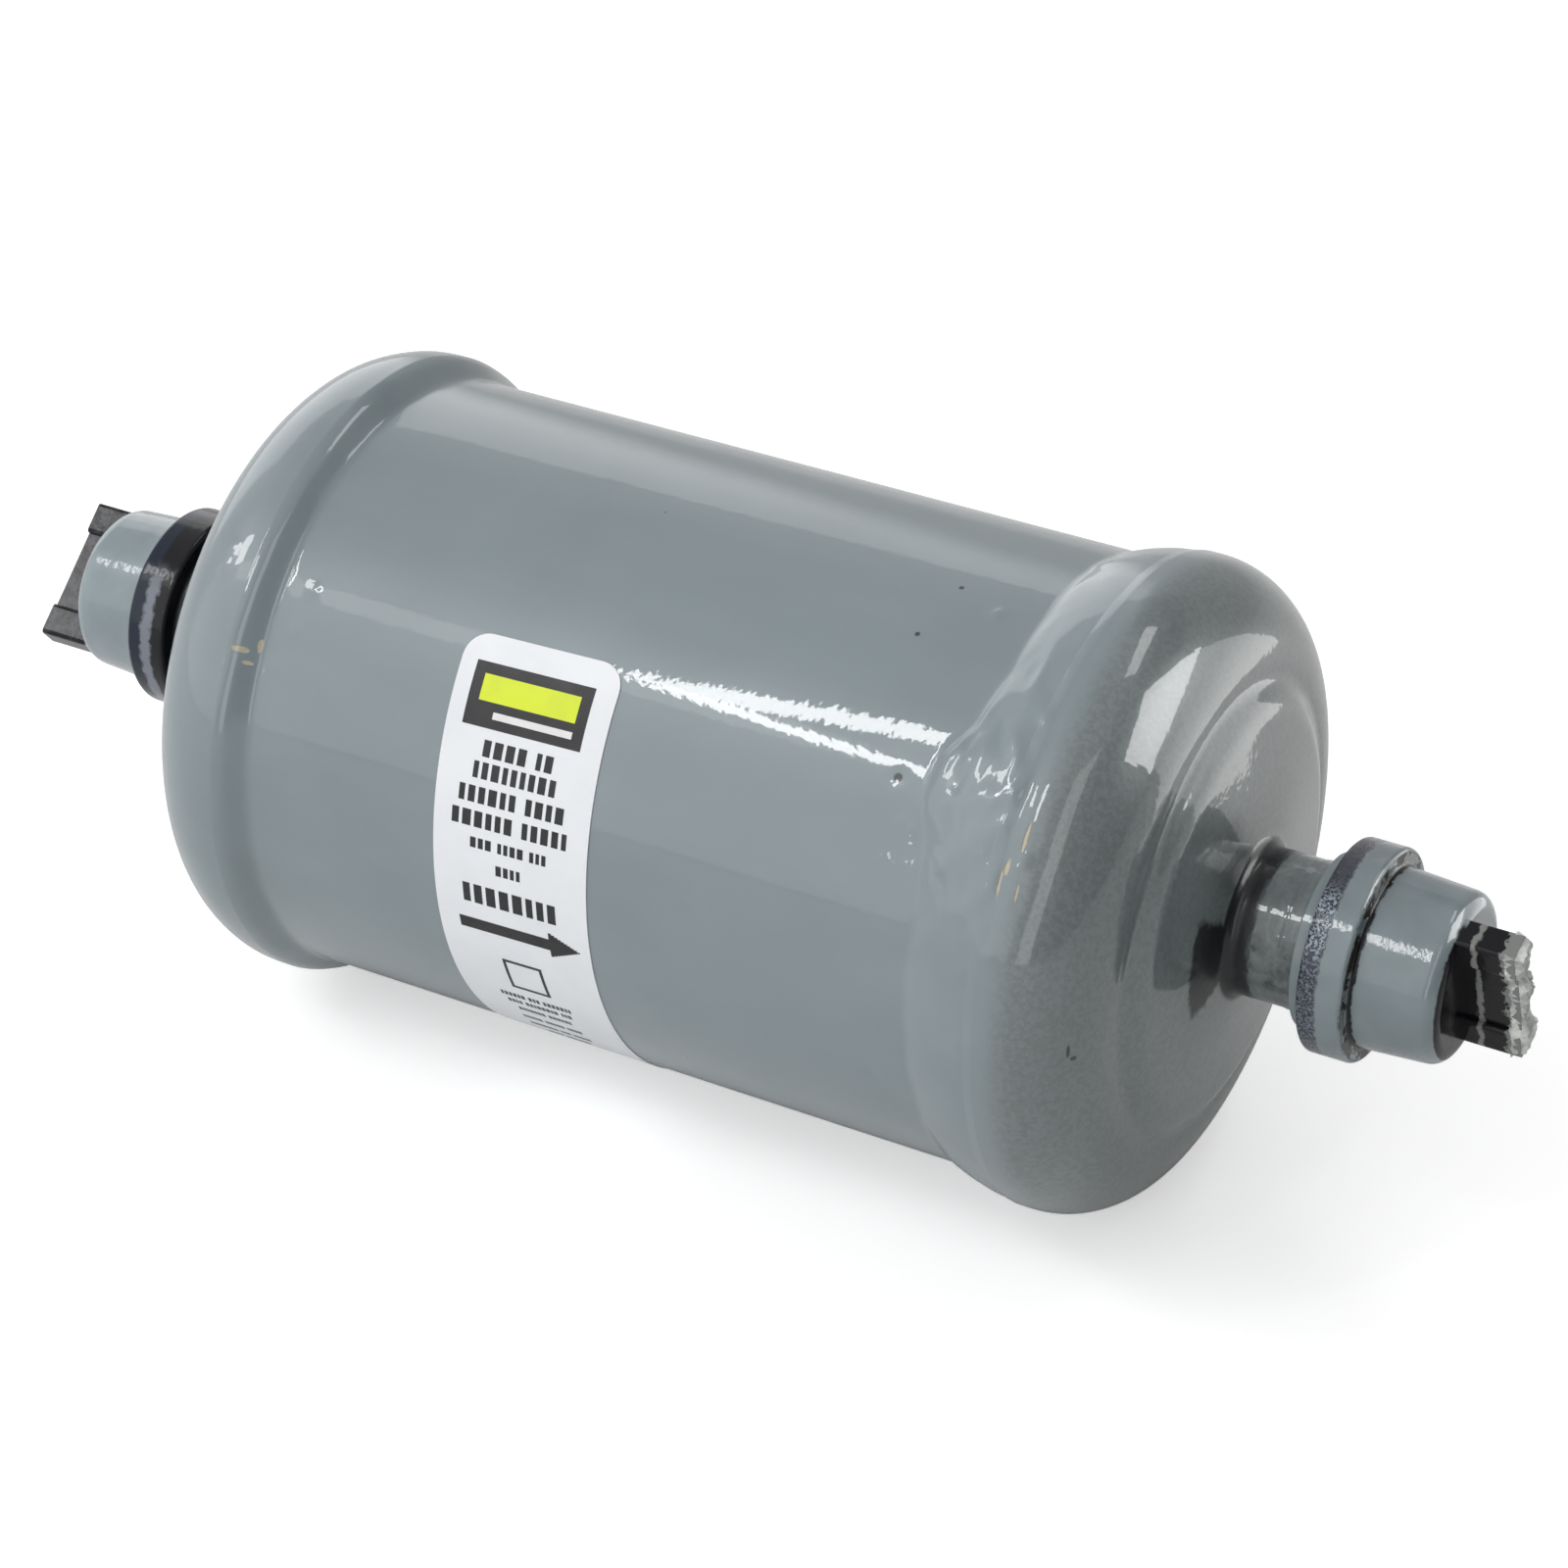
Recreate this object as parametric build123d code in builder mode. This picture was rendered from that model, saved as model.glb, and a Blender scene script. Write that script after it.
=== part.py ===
from build123d import *
import os
from math import atan2, cos, hypot, radians, sin, sqrt, tan

# Sealed liquid-line filter drier.
# Millimetres. The origin is at the middle of the shell, on its axis. +X points along the flow,
# out of the outlet; +Z is up. "Axial" distances are measured along X, outward from the middle.

# --- Driving sizes --------------------------------------------------------------------------

# Shell tube
shell_diameter = 71.8
shell_wall = 1.5
shell_length = 101.0

# Pressed end caps: a skirt over the shell, a wide round shoulder, a narrow valley and a low crown
cap_sheet = 2.1
skirt_slip = 0.1
skirt_overlap = 3.0
shoulder_lap = 0.5
shoulder_round = 10.6
valley_land = 1.1
valley_round = 3.0
crown_step_rise = 1.75
crown_step_run = 2.7
crown_round = 6.0
crown_rise = 2.25

# Girth welds between the skirts and the shell
inlet_weld_width = 2.3
outlet_weld_width = 6.0
weld_shortfall = 0.25
weld_crown = 0.3

# Copper solder fittings
socket_diameter = 12.75
socket_depth = 12.7
socket_wall = 1.975
tube_stop_width = 1.175
fitting_reach = 13.8
fitting_collar_height = 1.85
fitting_collar_width = 1.2
mouth_chamfer = 0.3
braze_gap = 0.05
braze_leg = 1.6
braze_hollow = 0.35

# Plastic seal caps
seal_clearance = 0.05
seal_grip = 6.2
seal_stop_width = 0.8
seal_hollow_depth = 8.2
seal_end_wall = 2.4
seal_mouth_chamfer = 0.4
seal_lip_wall = 1.6
seal_lip_width = 1.6
seal_wall = 1.95
seal_flange_height = 1.95
seal_flange_width = 5.3
seal_flange_round = 0.6
seal_head_taper = 0.6
seal_head_round = 2.0
seal_root_round = 0.5
inlet_seal_standoff = 0.0
outlet_seal_standoff = 1.0

# Pull tab on each seal cap: two thick ribs joined by a thinner web
tab_inset = 0.75
tab_length = 6.4
tab_thickness = 3.6
tab_rib_width = 4.0
tab_web_thickness = 2.2
tab_seat_depth = 1.5
tab_round = 0.5
inlet_tab_turn = 140.0
outlet_tab_turn = 70.0

# Wrapped label
label_width = 19.9
label_start_x = -20.1
label_top_angle = 46.5
label_wrap_angle = 111.0
label_thickness = 0.12
label_glue = 0.05
label_corner = 3.0

# Desiccant block and what seals it at the outlet end
core_flow_gap = 2.9
core_bore_diameter = 16.0
core_closed_end = 14.0
core_edge = 1.5
gasket_thickness = 1.5
gasket_width = 5.0

# Perforated plate that carries the block, with a dish for the screen and the pad
support_sheet = 1.0
support_edge_clearance = 0.05
dish_depth = 3.0
dish_round = 0.6
perforation_diameter = 3.6
perforation_ring_pitch = 6.0
perforation_rings = 3
perforations_in_first_ring = 6
pad_edge_clearance = 0.1
screen_thickness = 0.5
screen_gap = 2.6
screen_wire = 1.2

# Pad, plate and spring that push the block against the support plate
felt_thickness = 3.0
felt_inset = 1.5
felt_bore_diameter = 14.0
spring_plate_sheet = 1.0
spring_plate_window = 24.0
spring_guide_height = 2.5
spring_guide_clearance = 0.4
centring_tabs = 4
centring_tab_width = 9.0
centring_clearance = 0.3
spring_diameter = 40.0
spring_wire = 2.2
spring_half_turns = 9
spring_room = 19.9
spring_seat_gap = 0.1

# --- Sizes that follow ----------------------------------------------------------------------

shell_radius = shell_diameter / 2
shell_half = shell_length / 2
skirt_bore = shell_radius + skirt_slip
rim_radius = skirt_bore + cap_sheet
skirt_edge = shell_half - skirt_overlap
shoulder_start = shell_half - shoulder_lap
shoulder_face = shoulder_start + shoulder_round
shoulder_centre_radius = rim_radius - shoulder_round
valley_radius = shoulder_centre_radius - valley_land
crown_radius = valley_radius - crown_step_run
crown_edge = shoulder_face + crown_step_rise
socket_radius = socket_diameter / 2
fitting_radius = socket_radius + socket_wall
fitting_bore_radius = socket_radius - tube_stop_width
neck_root = crown_edge + crown_rise
crown_slope = crown_rise / (crown_radius - fitting_radius)
fitting_mouth = neck_root + fitting_reach
collar_radius = fitting_radius + fitting_collar_height

seal_bore_radius = fitting_radius + seal_clearance
seal_hollow_radius = seal_bore_radius - seal_stop_width
seal_head_radius = seal_bore_radius + seal_wall
seal_flange_radius = seal_head_radius + seal_flange_height
seal_lip_radius = seal_bore_radius + seal_lip_wall
seal_length = seal_grip + seal_hollow_depth + seal_end_wall
tab_width = 2 * (seal_head_radius - seal_head_taper - tab_inset)

support_face = shell_half
core_radius = shell_radius - shell_wall - core_flow_gap
core_outlet_face = support_face - gasket_thickness
dish_radius = core_radius - gasket_width


def crown_outside(radius):
    """Axial place of the crown's outer surface at a distance from the axis."""
    return neck_root - crown_slope * (radius - fitting_radius)


def crown_inside(radius):
    """Axial place of the crown's inner surface at a distance from the axis."""
    return crown_outside(radius) - cap_sheet * sqrt(1 + crown_slope**2)


spring_radius = spring_diameter / 2
spring_seat = -crown_inside(spring_radius + spring_wire / 2)
spring_plate_face = spring_seat + spring_room
felt_face = spring_plate_face + spring_plate_sheet
core_inlet_face = felt_face + felt_thickness
felt_radius = core_radius - felt_inset


def section_plane(side):
    """Plane through the axis whose x runs outward along the given end and whose y is radial."""
    return Plane(origin=(0, 0, 0), x_dir=(side, 0, 0), z_dir=(0, -side, 0))


def axial_plane(turn):
    """Plane through the axis whose x is +X and whose y is radial, lifted from -Y towards +Z."""
    out = (0, -cos(radians(turn)), sin(radians(turn)))
    return Plane(origin=(0, 0, 0), x_dir=(1, 0, 0), z_dir=Vector(1, 0, 0).cross(Vector(out)))


def cross_plane(side, axial, turn=0):
    """Plane square to the axis, facing outward; turn lifts its x from -Y towards +Z."""
    across = (0, -cos(radians(turn)), sin(radians(turn)))
    return Plane(origin=(side * axial, 0, 0), x_dir=across, z_dir=(side, 0, 0))


def save(piece, name):
    """Label one finished piece and write it to its own STEP file."""
    piece.part.label = name
    export_step(piece.part, f"parts/{name}.step")


os.makedirs("parts", exist_ok=True)

# --- Shell ----------------------------------------------------------------------------------

with BuildPart() as shell_tube:
    with BuildSketch(cross_plane(1, -shell_half)):
        Circle(shell_radius)
        Circle(shell_radius - shell_wall, mode=Mode.SUBTRACT)
    extrude(amount=shell_length)
save(shell_tube, "shell_tube")

# Label: a band of paper rolled round the shell, with rounded corners.
with BuildPart() as label:
    label_inside = shell_radius + label_glue
    with BuildSketch(axial_plane(label_top_angle)):
        with Locations((label_start_x + label_width / 2, label_inside + label_thickness / 2)):
            Rectangle(label_width, label_thickness)
    revolve(axis=Axis.X, revolution_arc=label_wrap_angle)
    for angle, inward in ((label_top_angle, -1), (label_top_angle - label_wrap_angle, 1)):
        for corner_x, along in ((label_start_x, 1), (label_start_x + label_width, -1)):
            out = (0, -cos(radians(angle)), sin(radians(angle)))
            at_corner = (corner_x, shell_radius * out[1], shell_radius * out[2])
            round_side = Align.MIN if along * inward > 0 else Align.MAX
            with BuildSketch(Plane(origin=at_corner, x_dir=(along, 0, 0), z_dir=out)):
                Rectangle(label_corner, label_corner, align=(Align.MIN, round_side))
                with Locations((label_corner, along * inward * label_corner)):
                    Circle(label_corner, mode=Mode.SUBTRACT)
            extrude(amount=2 * (label_glue + label_thickness), mode=Mode.SUBTRACT)
save(label, "label")

# --- The two ends ---------------------------------------------------------------------------

ends = (
    ("inlet", -1, inlet_weld_width, inlet_seal_standoff, inlet_tab_turn),
    ("outlet", 1, outlet_weld_width, outlet_seal_standoff, outlet_tab_turn),
)

for end, side, weld_width, seal_standoff, tab_turn in ends:
    section = section_plane(side)

    # End cap: one sheet of even thickness, pressed to the profile and pierced for the fitting.
    with BuildPart() as end_cap:
        with BuildSketch(section):
            with BuildLine():
                step_angle = atan2(crown_step_rise, crown_step_run)
                land_limit = 0.9 * valley_land / tan(step_angle / 2)
                profile = FilletPolyline(
                    (skirt_edge, rim_radius),
                    (shoulder_face, rim_radius),
                    (shoulder_face, valley_radius),
                    (crown_edge, crown_radius),
                    (crown_outside(0), 0),
                    radius=[shoulder_round, min(valley_round, land_limit), crown_round],
                )
                Line(profile @ 1, (skirt_edge, 0))
                Line((skirt_edge, 0), profile @ 0)
            make_face()
        revolve(axis=Axis.X)
        open_face = end_cap.faces().filter_by(Axis.X).sort_by(Axis.X)[0 if side > 0 else -1]
        offset(amount=-cap_sheet, openings=open_face)
        with BuildSketch(cross_plane(side, skirt_edge)):
            Circle(fitting_radius + braze_gap)
        extrude(amount=fitting_mouth - skirt_edge, mode=Mode.SUBTRACT)
    save(end_cap, f"{end}_end_cap")

    # Girth weld: a slightly crowned bead in the corner between the skirt's edge and the shell.
    with BuildPart() as seam_weld:
        toe = (skirt_edge - weld_width, shell_radius)
        root = (skirt_edge, shell_radius)
        top = (skirt_edge, rim_radius - weld_shortfall)
        with BuildSketch(section):
            with BuildLine():
                SagittaArc(toe, top, weld_crown)
                Polyline(top, root, toe)
            make_face()
        revolve(axis=Axis.X)
    save(seam_weld, f"{end}_seam_weld")

    # Fitting: a copper tube with a solder socket in its mouth and a collar inside the end cap.
    with BuildPart() as fitting:
        collar_face = crown_inside(collar_radius)
        inner_end = collar_face - fitting_collar_width
        with BuildSketch(section):
            with BuildLine():
                Polyline(
                    (inner_end, fitting_bore_radius),
                    (inner_end, collar_radius),
                    (collar_face, collar_radius),
                    (collar_face, fitting_radius),
                    (fitting_mouth - mouth_chamfer, fitting_radius),
                    (fitting_mouth, fitting_radius - mouth_chamfer),
                    (fitting_mouth, socket_radius),
                    (fitting_mouth - socket_depth, socket_radius),
                    (fitting_mouth - socket_depth, fitting_bore_radius),
                    close=True,
                )
            make_face()
        revolve(axis=Axis.X)
    save(fitting, f"{end}_fitting")

    # Braze ring: a hollow-faced fillet of filler in the corner of the crown and the fitting.
    with BuildPart() as braze_ring:
        corner = (neck_root, fitting_radius)
        on_fitting = (neck_root + braze_leg, fitting_radius)
        on_crown = (crown_outside(fitting_radius + braze_leg), fitting_radius + braze_leg)
        with BuildSketch(section):
            with BuildLine():
                SagittaArc(on_fitting, on_crown, braze_hollow)
                Polyline(on_crown, corner, on_fitting)
            make_face()
        revolve(axis=Axis.X)
    save(braze_ring, f"{end}_braze_ring")

    # Seal cap: a turned-up head, flange and lip, bored to slip over the fitting until its inner
    # step meets the fitting's mouth, with a ribbed tab to pull it off by.
    with BuildPart() as seal_cap:
        stop = fitting_mouth + seal_standoff
        lip = stop - seal_grip
        flange_back = lip + seal_lip_width
        flange_front = flange_back + seal_flange_width
        head_end = lip + seal_length
        with BuildSketch(section):
            with BuildLine():
                outline = FilletPolyline(
                    (lip, seal_lip_radius),
                    (flange_back, seal_lip_radius),
                    (flange_back, seal_flange_radius),
                    (flange_front, seal_flange_radius),
                    (flange_front, seal_head_radius),
                    (head_end, seal_head_radius - seal_head_taper),
                    (head_end, 0),
                    radius=[seal_root_round, seal_flange_round, seal_flange_round,
                            seal_root_round, seal_head_round],
                )
                Polyline(outline @ 1, (lip, 0), outline @ 0)
            make_face()
        revolve(axis=Axis.X)
        with BuildSketch(cross_plane(side, head_end - tab_seat_depth, tab_turn)):
            Rectangle(tab_width, tab_web_thickness)
            rib_shift = (tab_width - tab_rib_width) / 2
            with Locations((-rib_shift, 0), (rib_shift, 0)):
                RectangleRounded(tab_rib_width, tab_thickness, tab_round)
        extrude(amount=tab_seat_depth + tab_length)
        with BuildSketch(section):
            with BuildLine():
                Polyline(
                    (lip, 0),
                    (lip, seal_bore_radius + seal_mouth_chamfer),
                    (lip + seal_mouth_chamfer, seal_bore_radius),
                    (stop, seal_bore_radius),
                    (stop, seal_hollow_radius),
                    (head_end - seal_end_wall, seal_hollow_radius),
                    (head_end - seal_end_wall, 0),
                    close=True,
                )
            make_face()
        revolve(axis=Axis.X, mode=Mode.SUBTRACT)
    save(seal_cap, f"{end}_seal_cap")

# --- Inside the shell, from the outlet back to the inlet -------------------------------------

# Support plate: a flat rim trapped between the shell's end and the inner curve of the end cap's
# shoulder, and a perforated dish that holds the screen and the pad.
with BuildPart() as support_plate:
    curve_radius = shoulder_round - cap_sheet
    into_curve = shell_half + support_sheet - shoulder_start
    seat_radius = shoulder_centre_radius + sqrt(curve_radius**2 - into_curve**2)
    plate_radius = seat_radius - support_edge_clearance
    dish_floor = support_face + dish_depth
    with BuildSketch(section_plane(1)):
        with BuildLine():
            upstream = FilletPolyline(
                (support_face, plate_radius),
                (support_face, dish_radius),
                (dish_floor, dish_radius),
                (dish_floor, 0),
                radius=dish_round,
            )
            downstream = FilletPolyline(
                (support_face + support_sheet, plate_radius),
                (support_face + support_sheet, dish_radius + support_sheet),
                (dish_floor + support_sheet, dish_radius + support_sheet),
                (dish_floor + support_sheet, 0),
                radius=dish_round,
            )
            Line(upstream @ 0, downstream @ 0)
            Line(upstream @ 1, downstream @ 1)
        make_face()
    revolve(axis=Axis.X)
    with BuildSketch(cross_plane(1, dish_floor)):
        Circle(perforation_diameter / 2)
        for ring in range(1, perforation_rings + 1):
            with PolarLocations(ring * perforation_ring_pitch, ring * perforations_in_first_ring):
                Circle(perforation_diameter / 2)
    extrude(amount=support_sheet, mode=Mode.SUBTRACT)
save(support_plate, "outlet_support_plate")

# Screen: a woven disc on the floor of the dish, drawn as one sheet with square gaps.
screen_radius = dish_radius - dish_round - pad_edge_clearance
with BuildPart() as outlet_screen:
    with BuildSketch(cross_plane(1, dish_floor - screen_thickness)):
        Circle(screen_radius)
        screen_pitch = screen_gap + screen_wire
        reach = int(screen_radius / screen_pitch)
        steps = [step * screen_pitch for step in range(-reach, reach + 1)]
        gap_limit = screen_radius - screen_gap
        with Locations(*[(x, y) for x in steps for y in steps if hypot(x, y) < gap_limit]):
            Rectangle(screen_gap, screen_gap, mode=Mode.SUBTRACT)
    extrude(amount=screen_thickness)
save(outlet_screen, "outlet_screen")

# Filter pad: fine fibre that fills the rest of the dish.
with BuildPart() as filter_pad:
    with BuildSketch(cross_plane(1, support_face)):
        Circle(screen_radius)
    extrude(amount=dish_depth - screen_thickness)
save(filter_pad, "filter_pad")

# Gasket: seals the block's outlet end to the rim of the support plate.
with BuildPart() as core_gasket:
    with BuildSketch(cross_plane(1, core_outlet_face)):
        Circle(core_radius)
        Circle(core_radius - gasket_width, mode=Mode.SUBTRACT)
    extrude(amount=gasket_thickness)
save(core_gasket, "core_gasket")

# Desiccant block: moulded, with a blind bore that opens at the outlet end.
with BuildPart() as desiccant_core:
    with BuildSketch(cross_plane(1, core_inlet_face)):
        Circle(core_radius)
    extrude(amount=core_outlet_face - core_inlet_face)
    chamfer(desiccant_core.edges().sort_by(Axis.X)[0], core_edge)
    with BuildSketch(cross_plane(1, core_outlet_face)):
        Circle(core_bore_diameter / 2)
    extrude(amount=core_inlet_face + core_closed_end - core_outlet_face, mode=Mode.SUBTRACT)
save(desiccant_core, "desiccant_core")

# Felt pad between the block and the spring plate.
with BuildPart() as felt_pad:
    with BuildSketch(cross_plane(1, felt_face)):
        Circle(felt_radius)
        Circle(felt_bore_diameter / 2, mode=Mode.SUBTRACT)
    extrude(amount=felt_thickness)
save(felt_pad, "inlet_felt_pad")

# Spring plate: a disc with tabs that centre the block in the shell and a raised ring that
# keeps the spring in the middle.
with BuildPart() as spring_plate:
    guide_radius = spring_diameter / 2 - spring_wire / 2 - spring_guide_clearance
    with BuildSketch(cross_plane(1, spring_plate_face)):
        Circle(felt_radius)
        tab_reach = shell_radius - shell_wall - centring_clearance
        with PolarLocations(0, centring_tabs):
            Rectangle(tab_reach, centring_tab_width, align=(Align.MIN, Align.CENTER))
        Circle(spring_plate_window / 2, mode=Mode.SUBTRACT)
    extrude(amount=spring_plate_sheet)
    with BuildSketch(cross_plane(1, spring_plate_face)):
        Circle(guide_radius)
        Circle(guide_radius - spring_plate_sheet, mode=Mode.SUBTRACT)
    extrude(amount=-spring_guide_height)
save(spring_plate, "spring_plate")

# Spring: round wire wound between the spring plate and the inlet end cap's crown. Each half turn
# is turned about its own tilted axis, so that it climbs half a pitch and meets the next one square.
with BuildPart() as core_spring:
    wire_radius = spring_wire / 2
    first = spring_seat + wire_radius + spring_seat_gap
    last = spring_plate_face - wire_radius - spring_seat_gap
    climb = (last - first) / spring_half_turns
    for half_turn in range(spring_half_turns):
        start = first + half_turn * climb
        swing = -1 if half_turn % 2 == 0 else 1
        with BuildSketch(Plane.XY):
            with Locations((start, swing * spring_radius)):
                Circle(wire_radius)
        coil_axis = Axis((start + climb / 2, 0, 0), (-2 * spring_radius, -swing * climb, 0))
        revolve(axis=coil_axis, revolution_arc=180)
save(core_spring, "core_spring")
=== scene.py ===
import math

import bpy
import numpy as np
from mathutils import Matrix, Vector


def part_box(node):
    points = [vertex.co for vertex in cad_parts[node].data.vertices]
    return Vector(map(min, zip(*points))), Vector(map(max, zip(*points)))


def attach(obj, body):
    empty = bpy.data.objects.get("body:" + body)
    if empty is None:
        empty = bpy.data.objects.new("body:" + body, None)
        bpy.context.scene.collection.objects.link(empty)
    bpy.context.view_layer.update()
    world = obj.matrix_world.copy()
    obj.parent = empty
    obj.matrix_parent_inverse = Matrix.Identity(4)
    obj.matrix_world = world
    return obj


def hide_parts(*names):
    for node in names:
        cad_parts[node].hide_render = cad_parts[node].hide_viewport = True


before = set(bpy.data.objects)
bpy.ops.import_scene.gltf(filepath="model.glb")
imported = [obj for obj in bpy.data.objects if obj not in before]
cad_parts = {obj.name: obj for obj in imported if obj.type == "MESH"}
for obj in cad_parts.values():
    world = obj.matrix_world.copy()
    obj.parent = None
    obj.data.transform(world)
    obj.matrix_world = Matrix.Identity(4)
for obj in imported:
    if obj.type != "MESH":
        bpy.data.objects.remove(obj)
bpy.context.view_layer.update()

# Sizes below are in millimetres unless a name says otherwise. An angle round the shell is in
# degrees, lifted from the front (-Y) towards the top (+Z). "end" is -1 at the inlet, +1 at the
# outlet, and an axial place is measured outward from the middle. A "span" is a pair (low, high).
MM = 0.001


def node_box(node):
    """Lowest and highest corners of a CAD node, in millimetres."""
    low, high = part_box(node)
    return np.array(low) / MM, np.array(high) / MM


# --- Sizes read from the frame ----------------------------------------------------------------

SHELL_R = node_box("shell_tube")[1][2]
RIM_R = node_box("outlet_end_cap")[1][2]
NECK_ROOT = node_box("outlet_end_cap")[1][0]
WELD_TOE = {-1: -node_box("inlet_seam_weld")[1][0], 1: node_box("outlet_seam_weld")[0][0]}
SKIRT_EDGE = node_box("outlet_seam_weld")[1][0]
CAP_LIP = {-1: -node_box("inlet_seal_cap")[1][0], 1: node_box("outlet_seal_cap")[0][0]}
OUTLET_TAB_END = node_box("outlet_seal_cap")[1][0]
LABEL_LEFT = node_box("label")[0][0]
LABEL_RIGHT = node_box("label")[1][0]

# --- Numpy helpers ----------------------------------------------------------------------------


def arc_of(angle):
    """The arc length round the shell from its front up to an angle."""
    return math.radians(angle) * SHELL_R


def waves(seed, count, axial_pitch, most_around):
    """A smooth random relief over (axial mm, angle in radians), about -1 to 1, closed round the shell."""
    pick = np.random.RandomState(seed)
    terms = [(pick.uniform(-2, 2) * math.pi / axial_pitch, pick.randint(1, most_around + 1),
              pick.uniform(0, 2 * math.pi), pick.uniform(0.4, 1.0)) for _ in range(count)]
    total = sum(term[3] for term in terms) * 0.6

    def relief(x, angle):
        return sum(size * np.cos(k * x + n * angle + phase) for k, n, phase, size in terms) / total
    return relief


def hill(x, angle, x0, angle0, half_x, half_s):
    """A smooth hill, 1 at its middle and near 0 past its half sizes (mm along X and round the shell)."""
    turn = (angle - math.radians(angle0) + math.pi) % (2 * math.pi) - math.pi
    return np.exp(-((x - x0) / half_x) ** 2 - (turn * SHELL_R / half_s) ** 2)


def window(value, low, high, soft):
    """1 between low and high, falling smoothly to 0 over the soft width on either side."""
    rise = np.clip((value - low) / soft + 0.5, 0, 1)
    fall = np.clip((high - value) / soft + 0.5, 0, 1)
    return (rise * rise * (3 - 2 * rise)) * (fall * fall * (3 - 2 * fall))


def corner_arc(before, corner, after, radius, step):
    """Points of the arc that rounds one corner of a polyline, about a step apart."""
    back = (before - corner) / np.linalg.norm(before - corner)
    ahead = (after - corner) / np.linalg.norm(after - corner)
    half = 0.5 * math.acos(np.clip(np.dot(back, ahead), -1, 1))
    cut = radius / math.tan(half)
    start, stop = corner + back * cut, corner + ahead * cut
    centre = corner + (back + ahead) / np.linalg.norm(back + ahead) * radius / math.sin(half)
    pieces = max(2, round(radius * (math.pi - 2 * half) / step))
    points = []
    for share in np.linspace(0, 1, pieces + 1):
        mid = (1 - share) * (start - centre) + share * (stop - centre)
        points.append(centre + mid / np.linalg.norm(mid) * radius)
    return points


def rounded_path(corners, step):
    """Points along a polyline whose corners (x, r, radius) are rounded by arcs, about a step apart."""
    points = [np.array(corner[:2], float) for corner in corners]
    path = [points[0]]
    for before, corner, after, (_, _, radius) in zip(points, points[1:], points[2:], corners[1:]):
        path += corner_arc(before, corner, after, radius, step)
    path.append(points[-1])
    filled = [path[0]]
    for here, there in zip(path, path[1:]):
        count = max(1, round(np.linalg.norm(there - here) / step))
        filled += [here + (there - here) * (part + 1) / count for part in range(count)]
    return np.array(filled)


def on_shell(x, arc, radius):
    """A point at an axial place, an arc length round the shell and a distance from the axis."""
    angle = arc / SHELL_R
    return np.array([x, -radius * math.cos(angle), radius * math.sin(angle)])


# --- Mesh helpers -----------------------------------------------------------------------------


def mesh_object(name, verts_mm, faces, body, material, sharp=35):
    """A smooth-shaded mesh object that rides on a body."""
    mesh = bpy.data.meshes.new(name)
    mesh.from_pydata((np.asarray(verts_mm) * MM).tolist(), [], faces)
    mesh.validate()
    mesh.polygons.foreach_set("use_smooth", [True] * len(mesh.polygons))
    mesh.set_sharp_from_angle(angle=math.radians(sharp))
    mesh.materials.append(material)
    piece = bpy.data.objects.new(name, mesh)
    bpy.context.collection.objects.link(piece)
    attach(piece, body)
    return piece


def ring_faces(rows, around):
    """Quads of a closed tube of rings whose last ring joins the first."""
    faces = []
    for row in range(rows):
        below, above = row * around, (row + 1) % rows * around
        faces += [(below + i, below + (i + 1) % around, above + (i + 1) % around, above + i)
                  for i in range(around)]
    return faces


def slab_faces(rows, columns, start=0):
    """Quads of a closed slab: a lower grid of rows by columns of points, then an upper one."""
    layer = rows * columns

    def at(level, row, column):
        return start + level * layer + row * columns + column
    faces = []
    for row in range(rows - 1):
        for column in range(columns - 1):
            quad = [(row, column), (row, column + 1), (row + 1, column + 1), (row + 1, column)]
            faces.append([at(1, *corner) for corner in quad])
            faces.append([at(0, *corner) for corner in reversed(quad)])
    border = [(0, column) for column in range(columns - 1)]
    border += [(row, columns - 1) for row in range(rows - 1)]
    border += [(rows - 1, column) for column in range(columns - 1, 0, -1)]
    border += [(row, 0) for row in range(rows - 1, 0, -1)]
    for here, there in zip(border, border[1:] + border[:1]):
        faces.append([at(0, *here), at(0, *there), at(1, *there), at(1, *here)])
    return faces


# --- Shader helpers ---------------------------------------------------------------------------


class Nodes:
    """Short ways to add nodes to one node tree."""

    def __init__(self, tree):
        self.tree = tree

    def add(self, kind):
        return self.tree.nodes.new(kind)

    def put(self, socket, value):
        """Links a socket to an output, or sets the socket's own value."""
        if isinstance(value, bpy.types.NodeSocket):
            self.tree.links.new(value, socket)
        else:
            socket.default_value = value

    def math(self, operation, *values):
        node = self.add("ShaderNodeMath")
        node.operation = operation
        for socket, value in zip(node.inputs, values):
            self.put(socket, value)
        return node.outputs[0]

    def chain(self, operation, first, *others):
        for other in others:
            first = self.math(operation, first, other)
        return first

    def times(self, *values):
        return self.chain("MULTIPLY", *values)

    def plus(self, *values):
        return self.chain("ADD", *values)

    def minus(self, first, second):
        return self.math("SUBTRACT", first, second)

    def most(self, *masks):
        return self.chain("MAXIMUM", *masks)

    def ramp(self, value, span, to=(0.0, 1.0)):
        """A smooth step from one number to the other over a span of the value."""
        node = self.add("ShaderNodeMapRange")
        node.interpolation_type = "SMOOTHSTEP"
        for name, given in (("Value", value), ("From Min", span[0]), ("From Max", span[1]),
                            ("To Min", to[0]), ("To Max", to[1])):
            self.put(node.inputs[name], given)
        return node.outputs["Result"]

    def fade(self, value, span):
        """A smooth step from 1 down to 0 over a span of the value."""
        return self.ramp(value, span, (1.0, 0.0))

    def band(self, value, span, soft):
        """A mask of 1 inside a span of the value."""
        low, high = span
        return self.times(self.ramp(value, (low - soft, low + soft)),
                          self.fade(value, (high - soft, high + soft)))


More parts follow.
